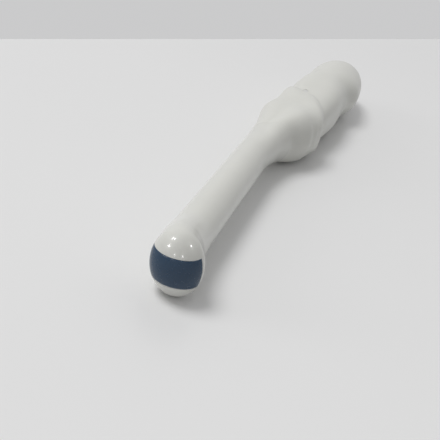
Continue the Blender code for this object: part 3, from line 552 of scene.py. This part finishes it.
def marker_frame():
    """Matrix from the marker's own axes: Z out of the handle's surface, Y along the probe."""
    y = JOINT_AT + MARKER_AT
    place = y
    for _ in range(40):
        place = y + slant(place) * math.cos(MARKER_ANGLE)
    step, twist = 0.0005, 0.05
    centre = skin_point(place, MARKER_ANGLE)
    along = (skin_point(place + step, MARKER_ANGLE) - skin_point(place - step, MARKER_ANGLE)).normalized()
    around = (skin_point(place, MARKER_ANGLE - twist) - skin_point(place, MARKER_ANGLE + twist)).normalized()
    normal = around.cross(along).normalized()
    across = along.cross(normal).normalized()
    turn = Matrix((across, along, normal)).transposed()
    return Matrix.Translation(centre) @ turn.to_4x4()


def oval_rings(levels):
    """Rings of the marker's oval from (grow, height) levels."""
    angles = [2.0 * math.pi * i / MARKER_SIDES for i in range(MARKER_SIDES)]
    return [[Vector(((MARKER_HALF_WIDTH + grow) * math.cos(angle),
                     (MARKER_HALF_LENGTH + grow) * math.sin(angle), height)) for angle in angles]
            for grow, height in levels]


def marker_piece(shell):
    """The inlaid oval, and its pocket cut into the shell."""
    pocket = bmesh.new()
    ends = [(POCKET_GAP, -MARKER_DEPTH - POCKET_SPARE), (POCKET_GAP, MARKER_DEPTH)]
    loops = add_rings(pocket, oval_rings(ends))
    pocket.faces.new(loops[0])
    pocket.faces.new(loops[-1])
    pocket.transform(marker_frame())
    carve(shell, make_piece("marker_pocket", pocket, None))
    build = bmesh.new()
    loops = add_rings(build, oval_rings(MARKER_LEVELS))
    build.faces.new(loops[0])
    add_tip(build, loops[-1], Vector((0.0, 0.0, MARKER_TOP)))
    build.transform(marker_frame())
    return make_piece("marker_inlay", build, "marker_plastic", ["orientation_marker"])


def gland_piece():
    """The inlet's gland, turned, with a rounded flange and a flared bore."""
    face = tail_face() + FIT_GAP
    rear = face + GLAND_FLANGE_THICKNESS
    front = rear - GLAND_LENGTH
    profile = [(GLAND_NECK_RADIUS, front), (GLAND_NECK_RADIUS, face),
               (GLAND_FLANGE_RADIUS - GLAND_CHAMFER, face), (GLAND_FLANGE_RADIUS, face + GLAND_CHAMFER)]
    curve = GLAND_EDGE_RADIUS
    for angle in spread(0.0, 0.5 * math.pi, 7):
        profile.append((GLAND_FLANGE_RADIUS - curve + curve * math.cos(angle),
                        rear - curve + curve * math.sin(angle)))
    for angle in spread(0.0, 0.5 * math.pi, 6):
        profile.append((CABLE_BORE_RADIUS + curve - curve * math.sin(angle),
                        rear - curve + curve * math.cos(angle)))
    profile.append((CABLE_BORE_RADIUS, front))
    centre = outline(tail_face())[0]
    build = bmesh.new()
    loops = add_rings(build, [ellipse(y, centre, radius, radius, GLAND_SIDES) for radius, y in profile])
    join_ends(build, loops[0], loops[-1])
    return make_piece("gland_skin", build, "gland_plastic", ["cable_gland"])


# Materials

WHITE = (0.68, 0.68, 0.64)
COAT_ROUGHNESS = 0.11
CLOUD_SCALE = 60.0              # features per metre
PEEL_SCALE = 420.0
PEEL_HEIGHT = 0.000004


def new_material(name):
    made = bpy.data.materials.new(name)
    made.use_nodes = True
    return made, made.node_tree.nodes, made.node_tree.links


def dress(piece, made):
    piece.data.materials.clear()
    piece.data.materials.append(made)


def dress_node(node, made):
    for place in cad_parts[node].material_slots:
        place.material = made


def add_noise(nodes, links, scale, detail=3.0, stretch=(1.0, 1.0, 1.0)):
    """Noise in object coordinates, in features per metre, and its output socket."""
    place = nodes.new("ShaderNodeTexCoord")
    spin = nodes.new("ShaderNodeMapping")
    spin.inputs["Scale"].default_value = stretch
    noise = nodes.new("ShaderNodeTexNoise")
    noise.inputs["Scale"].default_value = scale
    noise.inputs["Detail"].default_value = detail
    links.new(place.outputs["Object"], spin.inputs["Vector"])
    links.new(spin.outputs["Vector"], noise.inputs["Vector"])
    return noise.outputs["Fac"]


def add_range(nodes, links, source, low, high):
    """The source's middle part stretched between two values."""
    step = nodes.new("ShaderNodeMapRange")
    step.inputs["From Min"].default_value = 0.3
    step.inputs["From Max"].default_value = 0.7
    step.inputs["To Min"].default_value = low
    step.inputs["To Max"].default_value = high
    links.new(source, step.inputs["Value"])
    return step.outputs["Result"]


def add_tint(nodes, links, source, first, second):
    """Colour that goes from the first to the second with the source."""
    ramp = nodes.new("ShaderNodeValToRGB")
    ramp.color_ramp.elements[0].position = 0.3
    ramp.color_ramp.elements[0].color = (*first, 1.0)
    ramp.color_ramp.elements[1].position = 0.7
    ramp.color_ramp.elements[1].color = (*second, 1.0)
    links.new(source, ramp.inputs["Fac"])
    return ramp.outputs["Color"]


def add_bump(nodes, links, source, distance):
    """Relief of that height in metres on the shader's normal."""
    bump = nodes.new("ShaderNodeBump")
    bump.inputs["Distance"].default_value = distance
    bump.inputs["Strength"].default_value = 1.0
    links.new(source, bump.inputs["Height"])
    links.new(bump.outputs["Normal"], nodes["Principled BSDF"].inputs["Normal"])


def scaled(colour, factor):
    return tuple(min(1.0, channel * factor) for channel in colour)


def grained(name, colour, roughness, scale=900.0, contrast=0.06, bump=0.00002, metallic=0.0,
            stretch=(1.0, 1.0, 1.0)):
    """A finish with fine grain in its colour, roughness and relief."""
    made, nodes, links = new_material(name)
    shader = nodes["Principled BSDF"]
    shader.inputs["Metallic"].default_value = metallic
    grain = add_noise(nodes, links, scale, stretch=stretch)
    links.new(add_tint(nodes, links, grain, scaled(colour, 1.0 - contrast), scaled(colour, 1.0 + contrast)),
              shader.inputs["Base Color"])
    links.new(add_range(nodes, links, grain, 0.85 * roughness, 1.15 * roughness), shader.inputs["Roughness"])
    add_bump(nodes, links, grain, bump)
    return made


def moulded_white(name, colour, roughness, coat):
    """Glossy warm white moulding: faint cloudiness, fine orange peel and a clear gloss on top."""
    made, nodes, links = new_material(name)
    shader = nodes["Principled BSDF"]
    shader.inputs["Coat Weight"].default_value = coat
    shader.inputs["Coat Roughness"].default_value = COAT_ROUGHNESS
    cloud = add_noise(nodes, links, CLOUD_SCALE, detail=4.0)
    links.new(add_tint(nodes, links, cloud, scaled(colour, 0.985), scaled(colour, 1.01)),
              shader.inputs["Base Color"])
    peel = add_noise(nodes, links, PEEL_SCALE, detail=2.0)
    links.new(add_range(nodes, links, peel, 0.9 * roughness, 1.1 * roughness), shader.inputs["Roughness"])
    add_bump(nodes, links, peel, PEEL_HEIGHT)
    return made


def striped(name, colour, line_colour, pitch, roughness, bump):
    """Parallel lines across X, such as wires or traces, with the given pitch in metres."""
    made, nodes, links = new_material(name)
    shader = nodes["Principled BSDF"]
    shader.inputs["Roughness"].default_value = roughness
    place = nodes.new("ShaderNodeTexCoord")
    wave = nodes.new("ShaderNodeTexWave")
    wave.bands_direction = "X"
    wave.inputs["Scale"].default_value = math.pi / (10.0 * pitch)
    wave.inputs["Distortion"].default_value = 0.2
    wave.inputs["Detail Scale"].default_value = 40.0
    links.new(place.outputs["Object"], wave.inputs["Vector"])
    links.new(add_tint(nodes, links, wave.outputs["Fac"], colour, line_colour), shader.inputs["Base Color"])
    add_bump(nodes, links, wave.outputs["Fac"], bump)
    return made


def circuit_board(name):
    """Green solder resist with copper tracks under it."""
    made, nodes, links = new_material(name)
    shader = nodes["Principled BSDF"]
    shader.inputs["Roughness"].default_value = 0.38
    place = nodes.new("ShaderNodeTexCoord")
    tracks = nodes.new("ShaderNodeTexBrick")
    tracks.inputs["Scale"].default_value = 420.0
    tracks.inputs["Mortar Size"].default_value = 0.05
    tracks.inputs["Color1"].default_value = (0.014, 0.13, 0.055, 1.0)
    tracks.inputs["Color2"].default_value = (0.018, 0.16, 0.065, 1.0)
    tracks.inputs["Mortar"].default_value = (0.05, 0.32, 0.12, 1.0)
    links.new(place.outputs["Object"], tracks.inputs["Vector"])
    links.new(tracks.outputs["Color"], shader.inputs["Base Color"])
    add_bump(nodes, links, tracks.outputs["Fac"], 0.00003)
    return made


def dress_inside():
    """Finishes of the pieces that the shells hide."""
    copper = (0.78, 0.45, 0.30)
    metal = (0.75, 0.76, 0.78)
    finishes = {
        "matching_layer_outer": grained("amber_epoxy", (0.75, 0.66, 0.42), 0.42, 2600.0, 0.10),
        "matching_layer_inner": grained("filled_epoxy", (0.24, 0.24, 0.25), 0.5, 4200.0, 0.25),
        "piezo_array": grained("diced_ceramic", (0.55, 0.50, 0.38), 0.6, 5200.0, 0.12),
        "backing_block": grained("loaded_rubber", (0.05, 0.05, 0.055), 0.78, 3000.0, 0.35, 0.00005),
        "temperature_sensor": grained("potted_bead", (0.10, 0.18, 0.32), 0.3, 800.0, 0.10),
        "array_carrier": grained("blasted_carrier", metal, 0.42, 4500.0, 0.05, 0.00003, 1.0),
        "heat_bar": grained("drawn_bar", metal, 0.34, 1600.0, 0.06, 0.00002, 1.0, (1.0, 0.03, 1.0)),
        "handle_chassis": grained("rolled_plate", metal, 0.36, 1600.0, 0.05, 0.00002, 1.0, (1.0, 0.04, 1.0)),
        "tube_shield": grained("rolled_copper", copper, 0.34, 1500.0, 0.10, 0.00002, 1.0, (1.0, 0.05, 1.0)),
        "tube_seal": grained("seal_rubber", (0.03, 0.03, 0.035), 0.66, 2500.0, 0.2),
        "gland_lock_ring": grained("turned_ring", (0.78, 0.62, 0.30), 0.3, 2200.0, 0.06, 0.00002, 1.0,
                                   (0.05, 1.0, 0.05)),
        "cable_clamp_cap": grained("moulded_cap", (0.10, 0.10, 0.11), 0.5, 2600.0, 0.2, 0.00004),
        "cable_clamp_base": grained("moulded_base", (0.10, 0.10, 0.11), 0.5, 2600.0, 0.2, 0.00004),
    }
    flex = striped("flex_film", (0.70, 0.36, 0.10), (0.80, 0.50, 0.22), 0.0003, 0.3, 0.00002)
    ribbon = striped("wire_ribbon", (0.35, 0.40, 0.48), (0.22, 0.26, 0.33), 0.0006, 0.55, 0.00012)
    board = circuit_board("board_laminate")
    connector = striped("connector_body", (0.85, 0.82, 0.70), (0.80, 0.66, 0.34), 0.0010, 0.4, 0.00008)
    header = striped("header_body", (0.04, 0.04, 0.045), (0.42, 0.40, 0.34), 0.0020, 0.45, 0.00008)
    can = grained("tinned_can", copper, 0.32, 1300.0, 0.10, 0.00002, 1.0, (1.0, 0.05, 1.0))
    for label in ("upper", "lower"):
        finishes["flex_circuit_" + label] = flex
        finishes["lead_ribbon_" + label] = ribbon
        finishes["interconnect_board_" + label] = board
        finishes["ribbon_connector_" + label] = connector
        finishes["cable_header_" + label] = header
        finishes["handle_shield_" + label] = can
    steel = grained("screw_steel", (0.62, 0.63, 0.65), 0.28, 3000.0, 0.06, 0.00001, 1.0)
    brass = grained("post_brass", (0.78, 0.62, 0.30), 0.28, 3000.0, 0.06, 0.00001, 1.0, (0.05, 0.05, 1.0))
    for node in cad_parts:
        if "screw" in node:
            finishes[node] = steel
        if node.startswith("board_post"):
            finishes[node] = brass
    for node, made in finishes.items():
        dress_node(node, made)


# Table, backdrop, lights and camera

FLOOR_COLOUR = (0.80, 0.80, 0.80)
TABLE_ROUGHNESS = 0.28
TABLE_REACH = 4.0
WALL_COLOUR = (0.595, 0.595, 0.600)
SKY_AXIS = (-0.30, 0.55, 0.78)   # towards the brightest part of the room
SKY_LIGHT = (0.02, 0.60)         # opposite to that direction, and along it
LAMP_TARGET = (0.0, 0.08, 0.0)   # in the probe frame
KEY_LAMP = ((-0.42, -0.08, 0.90), 5.0, 2.2, 119.0)  # direction in the world, distance, size, power
FILL_LAMP = ((-0.90, -0.30, 0.32), 3.0, 1.4, 9.0)
SPOT_LAMPS = ((-143, 39, 12.0), (-134, 44, 13.0), (-130, 14, 14.0), (-22, 42, 13.0), (-100, 3, 3.5),
              (-73, 7, 2.5))     # azimuth and elevation in degrees, power
SPOT_DISTANCE = 3.0
SPOT_SIZE = 0.24


def camera_ray(column, row):
    """Direction in the world of the ray through a picture point."""
    right, up = Vector(CAMERA_RIGHT), Vector(CAMERA_UP)
    ahead = up.cross(right)
    middle = 0.5 * PICTURE_SIZE
    ray = ahead + right * ((column - middle) / FOCAL_PIXELS) - up * ((row - middle) / FOCAL_PIXELS)
    return (TO_WORLD.to_3x3() @ ray).normalized()


def floor_point(column, row):
    """Where the ray through a picture point meets the floor."""
    eye = TO_WORLD @ Vector(CAMERA_PLACE)
    ray = camera_ray(column, row)
    return eye - ray * (eye.z / ray.z)


def flat_sheet(name, corners, made):
    mesh = bpy.data.meshes.new(name)
    mesh.from_pydata(corners, [], [range(len(corners))])
    sheet = bpy.data.objects.new(name, mesh)
    bpy.context.scene.collection.objects.link(sheet)
    sheet.data.materials.append(made)
    return sheet


def stage_material(name, colour, roughness):
    made, nodes, links = new_material(name)
    shader = nodes["Principled BSDF"]
    shader.inputs["Roughness"].default_value = roughness
    cloud = add_noise(nodes, links, 3.0, detail=2.0)
    links.new(add_tint(nodes, links, cloud, scaled(colour, 0.995), scaled(colour, 1.005)),
              shader.inputs["Base Color"])
    return made


def add_table():
    """A pale table that ends in a straight line at its row of the picture."""
    left = floor_point(-0.5 * PICTURE_SIZE, TABLE_EDGE_ROW)
    right = floor_point(1.5 * PICTURE_SIZE, TABLE_EDGE_ROW)
    along = (right - left).normalized()
    away = Vector((-along.y, along.x, 0.0))
    middle = 0.5 * (left + right)
    side, depth = along * TABLE_REACH, away * TABLE_REACH
    corners = [middle - side - depth, middle + side - depth, middle + side, middle - side]
    flat_sheet("table_top", corners, stage_material("table_finish", FLOOR_COLOUR, TABLE_ROUGHNESS))


def add_lamp(name, direction, distance, size, power):
    """Round area lamp that shines at the probe from a direction in the world."""
    lamp = bpy.data.lights.new(name, "AREA")
    lamp.shape = "DISK"
    lamp.size = size
    lamp.energy = power
    holder = bpy.data.objects.new(name, lamp)
    bpy.context.scene.collection.objects.link(holder)
    target = TO_WORLD @ Vector(LAMP_TARGET)
    place = Vector(direction).normalized()
    holder.location = target + place * distance
    holder.rotation_euler = place.to_track_quat("Z", "Y").to_euler()
    return holder


def bearing(azimuth, elevation):
    """Direction in the world from its angles in degrees."""
    a, e = math.radians(azimuth), math.radians(elevation)
    return math.cos(a) * math.cos(e), math.sin(a) * math.cos(e), math.sin(e)


def add_world():
    """Soft light, brighter from above and behind, and the wall's tone for the camera and gloss."""
    world = bpy.data.worlds.new("studio")
    bpy.context.scene.world = world
    world.use_nodes = True
    nodes, links = world.node_tree.nodes, world.node_tree.links
    sky = nodes["Background"]
    sky.inputs["Color"].default_value = (1.0, 1.0, 1.0, 1.0)
    place = nodes.new("ShaderNodeTexCoord")
    facing = nodes.new("ShaderNodeVectorMath")
    facing.operation = "DOT_PRODUCT"
    facing.inputs[1].default_value = Vector(SKY_AXIS).normalized()
    level = nodes.new("ShaderNodeMapRange")
    level.inputs["From Min"].default_value = -1.0
    level.inputs["To Min"].default_value, level.inputs["To Max"].default_value = SKY_LIGHT
    links.new(place.outputs["Generated"], facing.inputs[0])
    links.new(facing.outputs["Value"], level.inputs["Value"])
    links.new(level.outputs["Result"], sky.inputs["Strength"])
    wall = nodes.new("ShaderNodeBackground")
    wall.inputs["Color"].default_value = (*WALL_COLOUR, 1.0)
    path = nodes.new("ShaderNodeLightPath")
    seen = path.outputs["Is Camera Ray"]
    for kind in ("Is Glossy Ray", "Is Transmission Ray"):
        either = nodes.new("ShaderNodeMath")
        either.operation = "MAXIMUM"
        links.new(seen, either.inputs[0])
        links.new(path.outputs[kind], either.inputs[1])
        seen = either.outputs["Value"]
    choice = nodes.new("ShaderNodeMixShader")
    links.new(seen, choice.inputs["Fac"])
    links.new(sky.outputs["Background"], choice.inputs[1])
    links.new(wall.outputs["Background"], choice.inputs[2])
    links.new(choice.outputs["Shader"], nodes["World Output"].inputs["Surface"])


def add_lights(shown):
    """Soft key and fill, and small lamps that only leave their gloss on the shown pieces."""
    key = add_lamp("key", *KEY_LAMP)
    fill = add_lamp("fill", *FILL_LAMP)
    key.visible_glossy = fill.visible_glossy = False
    lit = bpy.data.collections.new("glossy_pieces")
    for piece in shown:
        lit.objects.link(piece)
    for number, (azimuth, elevation, power) in enumerate(SPOT_LAMPS, start=1):
        direction = bearing(azimuth, elevation)
        spot = add_lamp("spot_%d" % number, direction, SPOT_DISTANCE, SPOT_SIZE, power)
        spot.visible_diffuse = False
        spot.light_linking.receiver_collection = lit


def add_camera():
    eye = bpy.data.cameras.new("camera")
    eye.sensor_width = SENSOR_WIDTH
    eye.lens = SENSOR_WIDTH * FOCAL_PIXELS / PICTURE_SIZE
    eye.clip_start = 0.01
    holder = bpy.data.objects.new("camera", eye)
    bpy.context.scene.collection.objects.link(holder)
    right = Vector(CAMERA_RIGHT).normalized()
    up = (Vector(CAMERA_UP) - right * right.dot(Vector(CAMERA_UP))).normalized()
    turn = Matrix((right, up, right.cross(up))).transposed()
    holder.matrix_world = TO_WORLD @ Matrix.Translation(CAMERA_PLACE) @ turn.to_4x4()
    bpy.context.scene.camera = holder


# Make everything

housing = housing_piece()
lens = lens_piece()
bead = glue_bead()
upper_shell = shell_piece("upper_shell_skin", 1, ["handle_upper_shell"])
lower_shell = shell_piece("lower_shell_skin", -1, ["handle_lower_shell"])
marker = marker_piece(upper_shell)
gland = gland_piece()

dress(housing, moulded_white("housing_white", WHITE, 0.34, 0.7))
dress(upper_shell, moulded_white("upper_shell_white", WHITE, 0.38, 0.25))
dress(lower_shell, moulded_white("lower_shell_white", WHITE, 0.38, 0.25))
dress(lens, grained("lens_blue", (0.009, 0.042, 0.092), 0.25, 700.0, 0.03, 0.000004))
dress(bead, grained("clear_adhesive", (0.72, 0.74, 0.74), 0.3, 900.0, 0.03, 0.000004))
dress(marker, grained("marker_grey", (0.64, 0.64, 0.62), 0.4, 1200.0, 0.04, 0.000006))
dress(gland, grained("gland_grey", (0.60, 0.60, 0.58), 0.42, 1400.0, 0.04, 0.000010))
dress_inside()

add_table()
add_world()
add_lights((housing, lens, upper_shell, lower_shell, marker, gland))
add_camera()
bpy.context.scene.view_settings.view_transform = "Standard"
